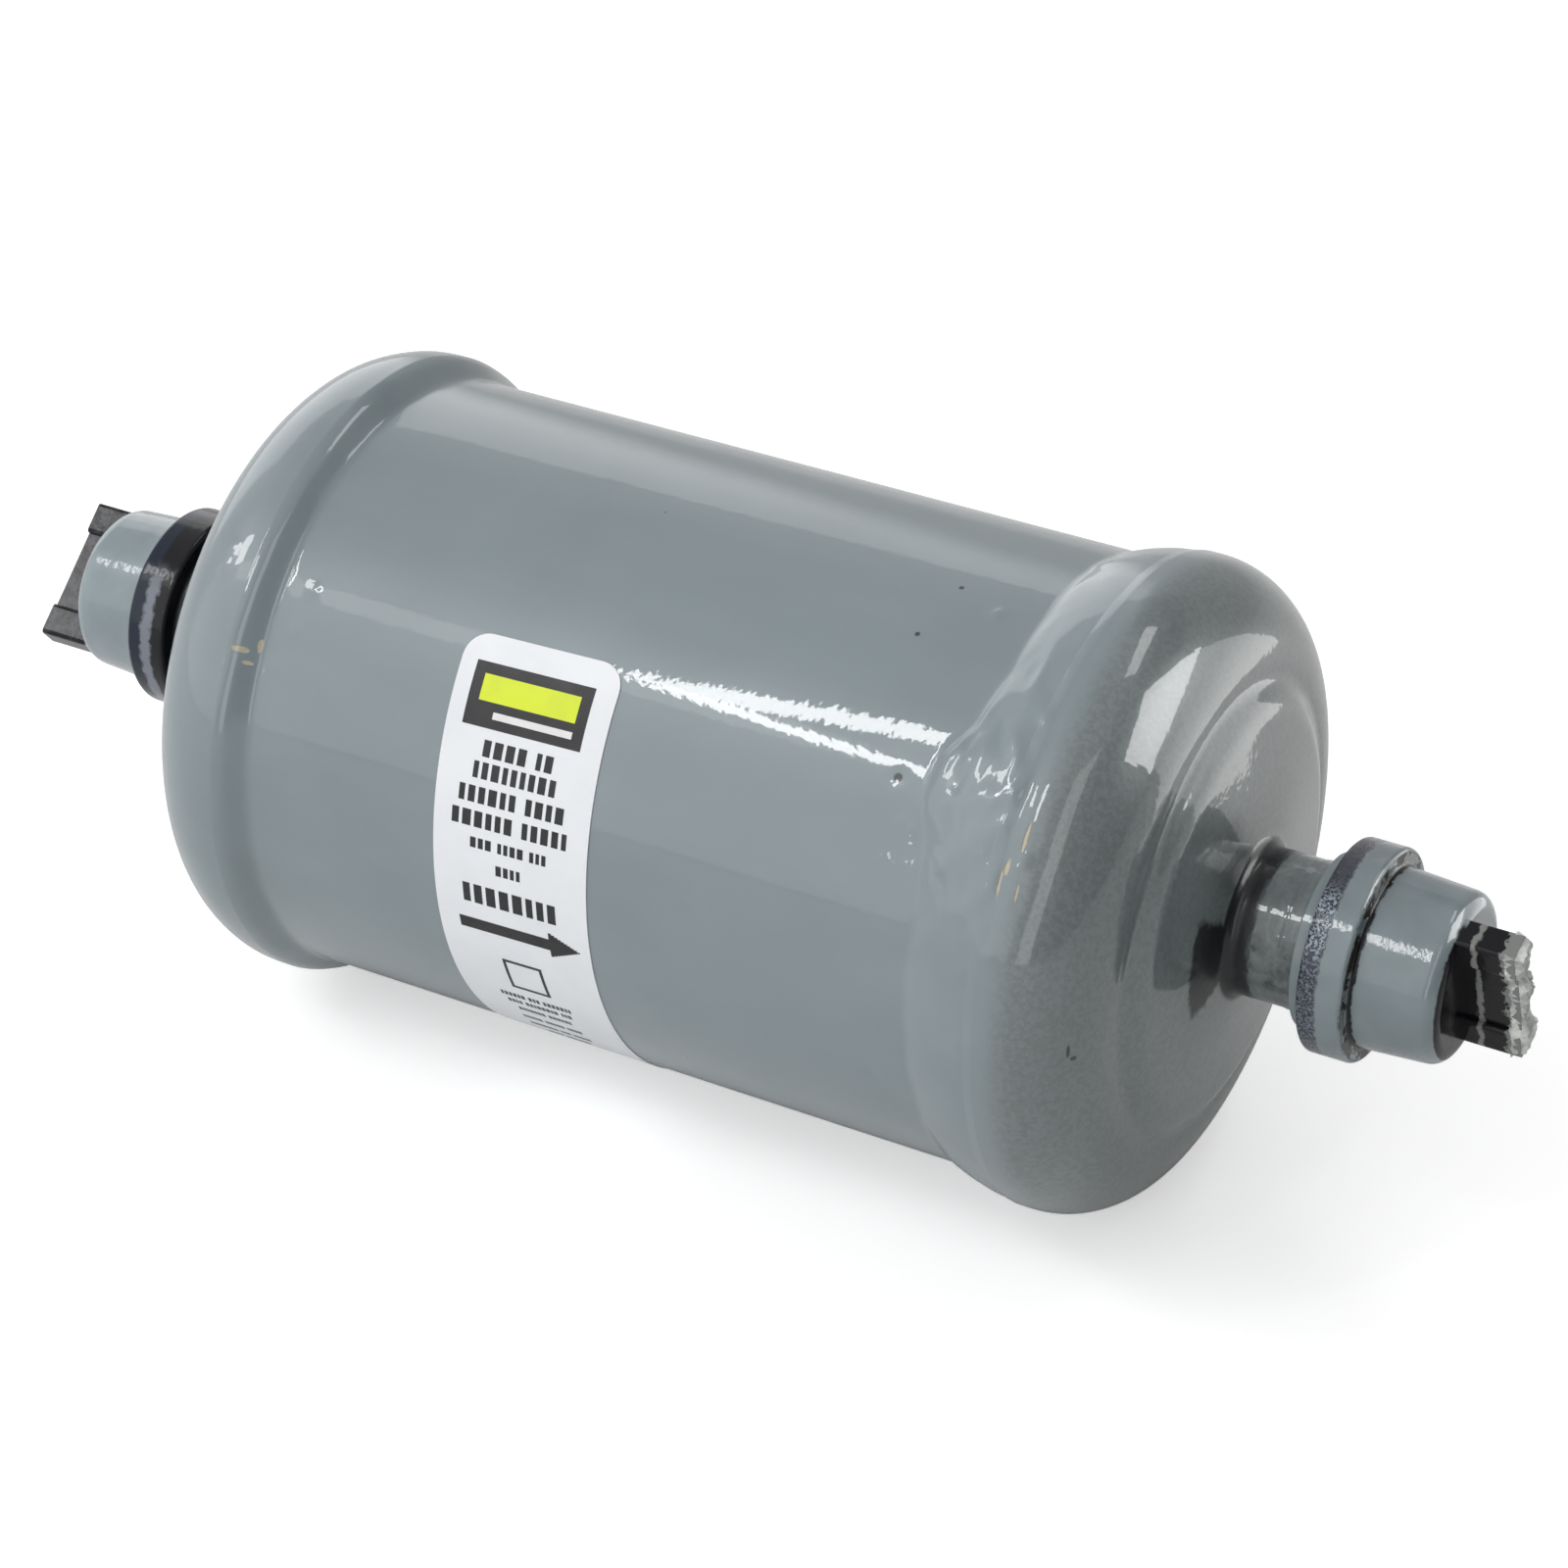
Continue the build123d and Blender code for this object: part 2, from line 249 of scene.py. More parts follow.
class Shader(Nodes):
    """Short ways to add nodes to one procedural material."""

    def __init__(self, name):
        self.material = bpy.data.materials.new(name)
        self.material.use_nodes = True
        super().__init__(self.material.node_tree)
        self.surface = self.tree.nodes["Principled BSDF"]
        self.place = self.add("ShaderNodeTexCoord").outputs["Object"]

    def mix(self, factor, first, second):
        node = self.add("ShaderNodeMix")
        node.data_type = "RGBA"
        self.put(node.inputs["Factor"], factor)
        for socket, value in ((node.inputs[6], first), (node.inputs[7], second)):
            self.put(socket, (*value, 1.0) if isinstance(value, tuple) else value)
        return node.outputs[2]

    def scaled_place(self, size_mm, stretch=(1, 1, 1)):
        """Object coordinates with size_mm as their unit."""
        node = self.add("ShaderNodeMapping")
        self.put(node.inputs["Vector"], self.place)
        node.inputs["Scale"].default_value = [part / (size_mm * MM) for part in stretch]
        return node.outputs[0]

    def noise(self, size_mm, detail=2.0, roughness=0.5, stretch=(1, 1, 1)):
        """Noise of about 0 to 1 whose features are about size_mm across."""
        node = self.add("ShaderNodeTexNoise")
        self.put(node.inputs["Vector"], self.scaled_place(size_mm, stretch))
        node.inputs["Scale"].default_value = 1.0
        node.inputs["Detail"].default_value = detail
        node.inputs["Roughness"].default_value = roughness
        return node.outputs["Fac"]

    def cells(self, size_mm):
        """Distance to the nearest of many points scattered about size_mm apart."""
        node = self.add("ShaderNodeTexVoronoi")
        self.put(node.inputs["Vector"], self.scaled_place(size_mm))
        node.inputs["Scale"].default_value = 1.0
        return node.outputs["Distance"]

    def axes(self):
        """Object coordinates in millimetres: x, y, z, distance from the axis, angle in degrees."""
        split = self.add("ShaderNodeSeparateXYZ")
        self.put(split.inputs[0], self.place)
        x, y, z = (self.times(split.outputs[i], 1 / MM) for i in range(3))
        radius = self.math("SQRT", self.plus(self.times(y, y), self.times(z, z)))
        angle = self.math("ARCTAN2", z, self.times(y, -1.0))
        return x, y, z, radius, self.times(angle, 180 / math.pi)

    def spot(self, x, angle, at, half, radius, edge, warp=None):
        """A mask of 1 inside an ellipse on the surface round a point (axial mm, degrees)."""
        along = self.math("DIVIDE", self.minus(x, at[0]), half[0])
        arc = self.times(self.minus(angle, at[1]), radius * math.pi / 180)
        across = self.math("DIVIDE", arc, half[1])
        reach = self.math("SQRT", self.plus(self.times(along, along), self.times(across, across)))
        if warp is not None:
            reach = self.plus(reach, warp)
        return self.fade(reach, (1.0 - edge, 1.0 + edge))

    def relief(self, *layers):
        """Bump from (height, millimetres) layers, on the surface and on its clear coat."""
        node = self.add("ShaderNodeBump")
        node.inputs["Strength"].default_value = 1.0
        node.inputs["Distance"].default_value = MM
        self.put(node.inputs["Height"], self.plus(*[self.times(*layer) for layer in layers]))
        self.put(self.surface.inputs["Normal"], node.outputs["Normal"])
        self.put(self.surface.inputs["Coat Normal"], node.outputs["Normal"])

    def finish(self, colour, roughness, metallic=0.0, ior=1.5, coat=0.0, coat_roughness=0.05):
        inputs = self.surface.inputs
        self.put(inputs["Base Color"], colour)
        self.put(inputs["Roughness"], roughness)
        self.put(inputs["Coat Weight"], coat)
        inputs["Metallic"].default_value = metallic
        inputs["IOR"].default_value = ior
        inputs["Coat Roughness"].default_value = coat_roughness
        return self.material


# --- Paint ------------------------------------------------------------------------------------

PAINT = (0.218, 0.266, 0.285)
PAINT_DARK = (0.182, 0.222, 0.236)
PAINT_THIN = (0.28, 0.33, 0.35)
# Painted shade: a darker copy of the paint for the outlet's face, which turns away from the light.
SHADED_DOME_PAINT = (0.150, 0.172, 0.170)
NECK_STREAK = (0.10, 0.12, 0.13)
CREAM = (0.52, 0.45, 0.31)
BLACK = (0.006, 0.006, 0.008)
PAINT_IOR = 1.4
PAINT_GLOSS = 0.9
GLOSS_LOST_WHERE_DARK = 0.75

# Marks in the paint: each is its place (axial mm, degrees) and its half sizes.
CHIPS = (((-47.4, 31.0), (0.9, 0.32)), ((-45.7, 32.2), (0.26, 0.75)), ((-46.5, 28.9), (0.5, 0.24)),
         ((50.7, 38.2), (0.18, 1.5)), ((49.6, 32.6), (0.28, 0.8)), ((49.2, 29.6), (0.16, 1.4)),
         ((51.3, 28.9), (0.10, 1.0)))
PIN_SPECKS = (((30.3, 81.1), (0.3, 0.3)), ((29.0, 68.1), (0.3, 0.3)), ((58.3, 1.8), (0.14, 0.8)),
              ((58.7, 0.0), (0.22, 0.3)), ((33.8, 41.7), (0.5, 0.5)), ((-1.0, -30.0), (0.3, 0.3)))
MARK_STRENGTH = 0.85

# Where painted shade darkens the outlet end (over its face, and as the cap's shadow by the neck), and
# where the necks are dark: along X, by distance from the axis, or by angle.
SHADED_FACE_STARTS = (49.0, 53.5)
CROWN_STARTS = (61.5, 62.0)
# Painted shadow of the outlet cap and neck on the crown: its radii and angles, then those of a fainter
# fringe above it.
NECK_SHADOW_R = (8.6, 15.0)
NECK_SHADOW_ANGLES = (-22, 27)
SHADOW_FRINGE_R = (8.6, 16.0)
SHADOW_FRINGE_ANGLES = (46, 76)
COLLAR = (NECK_ROOT - 0.35, NECK_ROOT + 3.1)
COLLAR_R_ENDS = (9.2, 9.7)
NECK_STARTS = (NECK_ROOT + 2.4, NECK_ROOT + 2.8)
DARK_INLET_NECK_STARTS = (63.8, 64.6)
DARK_INLET_NECK_R_ENDS = (11.5, 12.5)
PEEL_CHANGES = (54.0, 60.0)


def paint_tone(make, x):
    """The paint's clouded grey, thin in places, with painted shade darkening the outlet's face."""
    cloud = make.ramp(make.noise(20, detail=3), (0.30, 0.70))
    colour = make.mix(make.times(cloud, 0.4), PAINT, PAINT_DARK)
    thin = make.ramp(make.noise(7, detail=4, stretch=(0.35, 1, 1)), (0.35, 0.75))
    colour = make.mix(make.times(thin, 0.15), colour, PAINT_THIN)
    grain = make.ramp(make.noise(0.7, roughness=0.7), (0.35, 0.65), (0.55, 1.0))
    # Painted shade: past the outlet's rim the paint turns darker, with a speckled grain.
    return make.mix(make.times(make.ramp(x, SHADED_FACE_STARTS), grain), colour, SHADED_DOME_PAINT)


def neck_darkness(make, outward, r, angle, warp, at_outlet):
    """A mask of painted shadow cast by the cap and neck on the outlet's crown, of both necks' dark
    collars and of the dark inlet neck.
    """
    turned = make.plus(angle, make.times(warp, 9))
    ragged_r = make.plus(r, warp)
    # Painted shadow: a dark patch on the outlet's crown beside the neck, with a fainter fringe above it.
    neck_shadow = make.times(make.band(ragged_r, NECK_SHADOW_R, 0.4), make.band(turned, NECK_SHADOW_ANGLES, 3))
    shadow_fringe = make.times(make.band(ragged_r, SHADOW_FRINGE_R, 1.5), make.band(turned, SHADOW_FRINGE_ANGLES, 6))
    neck_shadow = make.most(neck_shadow, make.times(shadow_fringe, 0.35))
    neck_shadow = make.times(neck_shadow, make.ramp(outward, CROWN_STARTS), 0.95, at_outlet)
    reach = make.plus(outward, make.times(warp, 0.45))
    collar = make.times(make.band(reach, COLLAR, 0.2), make.fade(r, COLLAR_R_ENDS))
    # The inlet neck, out to its cap, is coloured near black.
    dark_inlet_neck = make.times(make.minus(1.0, at_outlet), make.ramp(outward, DARK_INLET_NECK_STARTS),
                           make.fade(r, DARK_INLET_NECK_R_ENDS))
    return make.most(neck_shadow, make.times(collar, 0.96), dark_inlet_neck)


def paint_material():
    """Gloss grey enamel: thick, with orange peel, specks and chips, and a patch of painted shadow by the
    outlet neck.
    """
    make = Shader("grey_enamel")
    x, _, _, r, angle = make.axes()
    warp = make.times(make.minus(make.noise(1.3, detail=3), 0.5), 1.3)
    specks = make.most(make.fade(make.cells(13), (0.012, 0.020)),
                       *[make.spot(x, angle, at, half, SHELL_R, 0.3) for at, half in PIN_SPECKS])
    chipped = make.most(*[make.spot(x, angle, at, half, RIM_R, 0.25, warp) for at, half in CHIPS])
    colour = make.mix(make.times(specks, MARK_STRENGTH), paint_tone(make, x), BLACK)
    colour = make.mix(make.times(chipped, MARK_STRENGTH), colour, CREAM)
    sign = make.math("SIGN", x)
    outward = make.times(x, sign)
    at_outlet = make.ramp(sign, (-0.5, 0.5))
    dark = neck_darkness(make, outward, r, angle, warp, at_outlet)
    colour = make.mix(dark, colour, BLACK)
    streaks = make.ramp(make.noise(3.0, detail=4, roughness=0.6, stretch=(2.5, 0.6, 0.6)), (0.42, 0.62))
    neck = make.times(make.ramp(outward, NECK_STARTS), streaks, at_outlet)
    colour = make.mix(make.times(neck, 0.6), colour, NECK_STREAK)
    roughness = make.ramp(make.noise(14), (0.3, 0.7), (0.29, 0.35))
    peel = make.ramp(x, PEEL_CHANGES, (0.008, 0.018))
    make.relief((make.noise(5.0, detail=1), 0.012), (make.noise(1.2, detail=1), peel),
                (make.noise(0.6, detail=1), 0.0016), (chipped, -0.05))
    gloss = make.minus(PAINT_GLOSS, make.times(dark, GLOSS_LOST_WHERE_DARK))
    return make.finish(colour, roughness, ior=PAINT_IOR, coat=gloss, coat_roughness=0.035)


# --- Plastic of the seal caps -------------------------------------------------------------------

NAVY = (0.012, 0.018, 0.034)
# Pale crackle colour on the outlet flange, partly paint film and partly painted highlight.
CRACKLE_FILM_HIGHLIGHT = (0.40, 0.48, 0.56)
RECESS = (0.030, 0.027, 0.022)
TAB_FILM = (0.27, 0.28, 0.27)
# A lighter copy of the grey paint: painted light on the inlet cap's head.
LIT_INLET_PAINT = (0.255, 0.312, 0.338)
PALE_STREAK_AND_HIGHLIGHT = (0.22, 0.24, 0.28)
INLET_TAB_MOTTLE = (0.030, 0.036, 0.046)
PLASTIC_IOR = 1.32
PLASTIC_ROUGHNESS = (0.16, 0.26)

# Places on a cap: distances from its lip, and from the axis.
FLANGE_BACK = (1.5, 3.9)
FLANGE_FRONT = (3.9, 6.9)
FLANGE_FACE = (6.5, 7.3)
OUTLET_HEAD = (7.45, 16.5)
INLET_HEAD = (7.2, 16.6)
HEAD_FACE = (16.3, 16.95)
LIP_ENDS = (1.45, 1.65)
TAB_ROOT = (18.3, 18.9)
TAB_END_STARTS = (21.6, 22.0)
INLET_TAB_STARTS = (16.9, 17.2)
STREAK_PLACE = (3.4, 4.9)
SHEEN_STARTS = (4.4, 5.0)
FLANGE_R_STARTS = (11.75, 11.95)
FLANGE_FACE_R = (10.55, 11.75)
HEAD_R = (9.0, 11.0)
LIP_R_STARTS = (9.4, 9.6)
SHEEN_R_STARTS = (10.4, 10.6)

# Angles round the outlet flange where its crackle carries a bright and a faint painted highlight, and
# round the inlet's streak, which is partly a painted highlight.
CRACKLE_HIGHLIGHT_ANGLES = (24, 60)
FAINT_CRACKLE = (-70, 60)
STREAK_ANGLES = (-75, 48)

# The tab's two directions across the axis: its width, and its thickness.
TAB_WIDE = Vector((0, -0.342, 0.940))
TAB_THIN = Vector((0, 0.940, 0.342))


def cap_masks(make, end):
    """Places on a seal cap: distance from its lip (plain and ragged), the noise, radius and angle."""
    x, _, _, r, angle = make.axes()
    from_lip = make.minus(make.times(x, float(end)), CAP_LIP[end])
    rough = make.minus(make.noise(1.1, detail=3, roughness=0.6), 0.5)
    ragged = make.plus(from_lip, make.times(rough, 0.9))
    return from_lip, ragged, rough, r, angle


def crackled_flange(make, ragged, r, angle):
    """A mask of the outlet flange's back half, its crackle and its colour: a torn pale film over navy,
    made bright by angle as a painted highlight.
    """
    back = make.times(make.ramp(r, FLANGE_R_STARTS), make.band(ragged, FLANGE_BACK, 0.25))
    crackle = make.ramp(make.noise(0.30, detail=3, roughness=0.65), (0.44, 0.58))
    # Painted highlight: the pale crackle shows strongly at the angles where light falls, and faintly
    # lower down.
    faint = make.times(make.band(angle, FAINT_CRACKLE, 14), 0.35)
    lit_film = make.times(crackle, make.most(make.band(angle, CRACKLE_HIGHLIGHT_ANGLES, 10), faint))
    return back, crackle, make.mix(lit_film, NAVY, CRACKLE_FILM_HIGHLIGHT)


def oversprayed(make, from_lip, ragged, r, face):
    """A mask of the paint on the outlet cap: its head, its lip and the flange's front."""
    _, y, z, _, _ = make.axes()
    side = make.plus(make.times(y, TAB_THIN.y), make.times(z, TAB_THIN.z))
    front = make.times(make.ramp(r, FLANGE_R_STARTS), make.band(ragged, FLANGE_FRONT, 0.25))
    patches = make.ramp(make.noise(2.6, detail=3, roughness=0.6), (0.47, 0.53))
    head = make.times(make.band(ragged, OUTLET_HEAD, 0.15), make.band(r, HEAD_R, 0.1))
    head_face = make.times(make.band(from_lip, HEAD_FACE, 0.1), make.ramp(side, (0.2, 1.2)))
    lip = make.times(make.fade(from_lip, LIP_ENDS), make.ramp(r, LIP_R_STARTS))
    return make.most(front, make.times(face, patches), head, head_face, lip)


def outlet_cap_plastic():
    """Black moulded plastic under grey overspray: grey head and flange front, bare tab and recesses."""
    make = Shader("outlet_cap_plastic")
    from_lip, ragged, rough, r, angle = cap_masks(make, 1)
    paint_tones = make.mix(make.ramp(make.noise(7, detail=3), (0.3, 0.7)), PAINT, PAINT_DARK)
    back, crackle, lit_film = crackled_flange(make, ragged, r, angle)
    face = make.times(make.band(r, FLANGE_FACE_R, 0.15), make.band(from_lip, FLANGE_FACE, 0.1))
    grey = oversprayed(make, from_lip, ragged, r, face)
    tab_end = make.ramp(make.plus(from_lip, make.times(rough, 4.5)), TAB_END_STARTS)
    tab_root = make.band(make.plus(from_lip, make.times(rough, 1.2)), TAB_ROOT, 0.15)
    colour = make.mix(face, BLACK, RECESS)
    colour = make.mix(back, colour, lit_film)
    colour = make.mix(make.times(make.most(tab_end, tab_root), 0.8), colour, TAB_FILM)
    colour = make.mix(grey, colour, paint_tones)
    make.relief((make.noise(2.2), 0.02), (make.times(crackle, back), 0.05), (rough, 0.02), (grey, 0.05))
    roughness = make.ramp(grey, (0.0, 1.0), PLASTIC_ROUGHNESS)
    gloss = make.ramp(make.most(grey, back), (0.0, 1.0), (0.05, 0.9))
    return make.finish(colour, roughness, ior=PLASTIC_IOR, coat=gloss)


def inlet_cap_plastic():
    """The same plastic with a grey head, lightened by painted light; the flange is black with a painted
    dark blue sheen and a pale streak that is partly overspray and partly painted highlight.
    """
    make = Shader("inlet_cap_plastic")
    from_lip, ragged, rough, r, angle = cap_masks(make, -1)
    # Painted light: the inlet head's paint clouds between a lighter copy of the grey and the grey itself.
    paint_tones = make.mix(make.ramp(make.noise(6, detail=3), (0.3, 0.7)), LIT_INLET_PAINT, PAINT)
    head = make.times(make.band(ragged, INLET_HEAD, 0.15), make.band(r, HEAD_R, 0.1))
    waist = make.plus(from_lip, make.times(rough, 1.6))
    # The pale streak on the flange's rounded edge is partly grey overspray and partly a painted
    # highlight.
    lit_streak = make.times(make.band(waist, STREAK_PLACE, 0.3), make.ramp(r, FLANGE_R_STARTS),
                        make.band(angle, STREAK_ANGLES, 10))
    sheen = make.times(make.ramp(from_lip, SHEEN_STARTS), make.ramp(r, SHEEN_R_STARTS))
    mottle = make.ramp(make.noise(1.6, detail=4, roughness=0.65), (0.42, 0.60))
    tab = make.ramp(from_lip, INLET_TAB_STARTS)
    # Painted sheen: the flange's outer front is dark blue over the black plastic.
    colour = make.mix(sheen, BLACK, NAVY)
    colour = make.mix(make.times(lit_streak, MARK_STRENGTH), colour, PALE_STREAK_AND_HIGHLIGHT)
    colour = make.mix(make.times(tab, mottle), colour, INLET_TAB_MOTTLE)
    colour = make.mix(head, colour, paint_tones)
    make.relief((make.noise(2.2), 0.02), (rough, 0.015), (head, 0.05))
    roughness = make.ramp(head, (0.0, 1.0), PLASTIC_ROUGHNESS)
    gloss = make.times(make.ramp(head, (0.0, 1.0), (0.25, 0.9)), make.minus(1.0, tab))
    return make.finish(colour, roughness, ior=PLASTIC_IOR, coat=gloss)


# --- Plain materials, and the finish of each CAD node --------------------------------------------


def plain_material(name, light, dark, size, roughness, bump, metallic=0.0):
    """A two-tone procedural material with matching bump, for plain pieces."""
    make = Shader(name)
    mottle = make.ramp(make.noise(size, detail=4, roughness=0.55), (0.3, 0.7))
    grain = make.noise(size * 0.2, detail=3, roughness=0.6)
    make.relief((mottle, bump), (grain, bump * 0.5))
    rough = make.ramp(grain, (0.2, 0.8), (roughness * 0.8, min(1.0, roughness * 1.2)))
    return make.finish(make.mix(mottle, light, dark), rough, metallic)


# Each row gives the material's name, light and dark tone, spot size, roughness, bump and metal.
FELT = ((0.62, 0.58, 0.50), (0.48, 0.45, 0.39), 1.2, 0.98, 0.12)
PRESSED_STEEL = ((0.50, 0.51, 0.52), (0.36, 0.37, 0.38), 6, 0.4, 0.01, 1.0)
NODE_FINISH = {
    "inlet_fitting": ("copper", (0.72, 0.30, 0.17), (0.46, 0.17, 0.09), 5, 0.26, 0.004, 1.0),
    "desiccant_core": ("desiccant", (0.55, 0.43, 0.30), (0.40, 0.30, 0.20), 2.2, 0.95, 0.15),
    "core_gasket": ("felt_ring", *FELT),
    "inlet_felt_pad": ("felt_pad", *FELT),
    "filter_pad": ("filter_fibre", (0.80, 0.80, 0.77), (0.66, 0.66, 0.64), 0.9, 0.98, 0.12),
    "outlet_screen": ("screen_wire", (0.55, 0.56, 0.57), (0.38, 0.39, 0.40), 1.0, 0.35, 0.02, 1.0),
    "outlet_support_plate": ("plate_steel", *PRESSED_STEEL),
    "spring_plate": ("pressed_steel", *PRESSED_STEEL),
    "core_spring": ("spring_steel", (0.48, 0.49, 0.50), (0.30, 0.31, 0.32), 2, 0.3, 0.01, 1.0),
}

paint = paint_material()
label_paper = plain_material("label_paper", (0.83, 0.85, 0.88), (0.79, 0.81, 0.84), 9, 0.42, 0.004)
ink = plain_material("black_ink", (0.012, 0.012, 0.014), (0.022, 0.022, 0.025), 3, 0.42, 0.002)
lime_ink = plain_material("lime_ink", (0.72, 0.84, 0.02), (0.66, 0.78, 0.03), 4, 0.42, 0.002)
white_ink = plain_material("white_ink", (0.80, 0.80, 0.80), (0.74, 0.74, 0.75), 4, 0.42, 0.002)
torn_plastic = plain_material("torn_plastic", (0.80, 0.82, 0.79), (0.36, 0.37, 0.36), 1.6, 0.6, 0.05)


def dress(node, material):
    """Gives a CAD node its procedural material."""
    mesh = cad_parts[node].data
    mesh.materials.clear()
    mesh.materials.append(material)


for node, finish in NODE_FINISH.items():
    dress(node, plain_material(*finish))
dress("outlet_fitting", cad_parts["inlet_fitting"].data.materials[0])
dress("inlet_seal_cap", inlet_cap_plastic())
dress("outlet_seal_cap", outlet_cap_plastic())

# --- Relief of the paint: weld, folds, sags, blisters and runs ------------------------------------

COAT_LIFT = 0.030
WELD_TOP_DROP = 0.3
WELD_TOP_R = RIM_R - WELD_TOP_DROP
SKIRT_TOP = SKIRT_EDGE + 0.2

WELD_WAVES = waves(11, 26, 2.6, 46)
FOLD_WAVES = waves(29, 24, 5.0, 26)
SKIRT_WAVES = waves(5, 18, 6.0, 18)
BROAD_WAVES = waves(3, 10, 30.0, 7)

# Hills: axial place, angle, half length and half width.
WELD_CREST = (46.0, 44, 2.6, 11)
WELD_HEAP = (44, 42, 40, 15)

# The outlet weld's toe runs round at one place, but for bulges (angle, half angle, size).
OUTLET_TOE = 41.0
TOE_BULGES = ((43, 12, 3.4), (8, 30, 1.5))

# Raised rings in the paint on the necks: outward place, height.
NECK_RINGS = ((71.5, 0.10), (72.5, 0.12), (68.2, 0.04), (66.9, 0.05))
NECK_RING_HALF = 0.28

# Blisters and pits in the paint: axial place, angle, half size, height.
BLISTERS = ((36.0, 77.1, 0.7, 0.26), (33.8, 41.7, 0.7, -0.14), (37.1, 33.4, 0.65, 0.22),
            (35.6, 34.2, 0.6, 0.18), (42.3, 29.4, 0.65, 0.20), (46.7, 33.6, 0.65, 0.18),
            (51.1, 34.4, 0.65, 0.22), (47.0, 0.2, 0.8, 0.24), (49.6, 17.9, 0.8, 0.26),
            (35.3, -15.4, 0.8, -0.20), (-52.9, 44.2, 0.8, 0.25), (-52.6, 47.6, 0.7, 0.22),
            (-53.0, 40.8, 0.6, 0.20), (-41.5, 44.8, 0.7, 0.20), (-42.4, 36.3, 0.7, 0.18))


def folds(field):
    """Turns a wave field into thin ridges on flat ground, 0 to 1."""
    return np.clip(1 - 1.7 * np.sqrt(field * field + 0.004), 0, 1)


def outlet_toe(angle):
    """Where the outlet weld's paint starts on the barrel: it bulges inward in front and above."""
    degrees = np.degrees((angle + math.pi) % (2 * math.pi) - math.pi)
    toe = OUTLET_TOE + 0.35 * WELD_WAVES(0 * angle, angle)
    for middle, half, size in TOE_BULGES:
        toe = toe - size * np.exp(-((degrees - middle) / half) ** 2)
    return toe


def outlet_weld(x, angle, radius):
    """Height of the outlet weld over the turned outline: a full slope from its toe, with creases."""
    toe = outlet_toe(angle)
    share = np.clip((x - toe) / (SKIRT_TOP - toe), 0, 1)
    bulge = (WELD_TOP_R - SHELL_R) * share * (1 + 0.7 * (1 - share)) - (radius - SHELL_R)
    bulge = np.clip(bulge, 0, 1) * window(x, 30, 47.9, 0.4)
    creases = 0.50 * folds(FOLD_WAVES(x, angle)) + 0.28 * folds(WELD_WAVES(x, angle))
    heap = 0.12 + hill(x, angle, *WELD_HEAP)
    return bulge + 0.30 * hill(x, angle, *WELD_CREST) + window(x, toe + 0.6, 48.5, 1.4) * heap * creases


def relief_of_paint(x, angle, radius):
    """How far the paint stands off the turned outline, in millimetres."""
    raised = COAT_LIFT + 0.014 * BROAD_WAVES(x, angle) * window(np.abs(x), 0, 62, 4)
    raised = raised + outlet_weld(x, angle, radius)
    raised = raised + 0.035 * window(np.abs(x), 46, 57, 4) * SKIRT_WAVES(x, angle)
    raised = raised + 0.05 * window(-x, 43.5, 48, 2) * WELD_WAVES(x, angle)
    for place, turned, size, height in BLISTERS:
        raised = raised + height * hill(x, angle, place, turned, size, size)
    for place, height in NECK_RINGS:
        ring = np.exp(-((np.abs(x) - place) / NECK_RING_HALF) ** 2)
        raised = raised + height * ring * (radius < NECK_PAINT_R + 0.5)
    return raised


# --- Paint coat over the shell, the end caps, the welds and the necks ---------------------------

NECK_PAINT_R = 8.47
FITTING_R = 8.36
SHOULDER_ROUND = 10.6
SHOULDER_FACE = 60.6
VALLEY_R = 26.4
VALLEY_ROUND = 3.0
CROWN_EDGE = 62.35
CROWN_R = 23.7
CROWN_ROUND = 6.0
ROOT_ROUND = 1.5
WELD_TOE_ROUND = {-1: 1.6, 1: 4.0}
WELD_TOP_ROUND = 3.0
RIM_START = SHOULDER_FACE - SHOULDER_ROUND - 1.2
RIM_START_ROUND = 1.0
CAP_GAP = 0.05
COAT_DEPTH = 1.4
END_STARTS = 30.0
OUTLINE_STEP = 0.55
BARREL_STEP = 2.0
AROUND = 344


def end_outline(end):
    """The painted outline of one end as (outward place, radius), from the barrel to the cap's lip."""
    return rounded_path([
        (END_STARTS, SHELL_R, 0),
        (WELD_TOE[end], SHELL_R, WELD_TOE_ROUND[end]),
        (SKIRT_TOP, WELD_TOP_R, WELD_TOP_ROUND),
        (RIM_START, RIM_R, RIM_START_ROUND),
        (SHOULDER_FACE, RIM_R, SHOULDER_ROUND),
        (SHOULDER_FACE, VALLEY_R, VALLEY_ROUND),
        (CROWN_EDGE, CROWN_R, CROWN_ROUND),
        (NECK_ROOT, NECK_PAINT_R, ROOT_ROUND),
        (CAP_LIP[end] - CAP_GAP, NECK_PAINT_R, 0),
    ], OUTLINE_STEP)


def end_lining(end):
    """The coat's hidden inner side at one end, from the cap's lip back to the barrel."""
    lining = [(CAP_LIP[end] - CAP_GAP, FITTING_R), (CROWN_EDGE, FITTING_R),
              (CROWN_EDGE - COAT_DEPTH, CROWN_R - 2), (SHOULDER_FACE - COAT_DEPTH, VALLEY_R),
              (SHOULDER_FACE - 4, RIM_R - 4), (SKIRT_EDGE, SHELL_R - COAT_DEPTH),
              (END_STARTS, SHELL_R - COAT_DEPTH)]
    return np.array([(end * place, radius) for place, radius in lining])


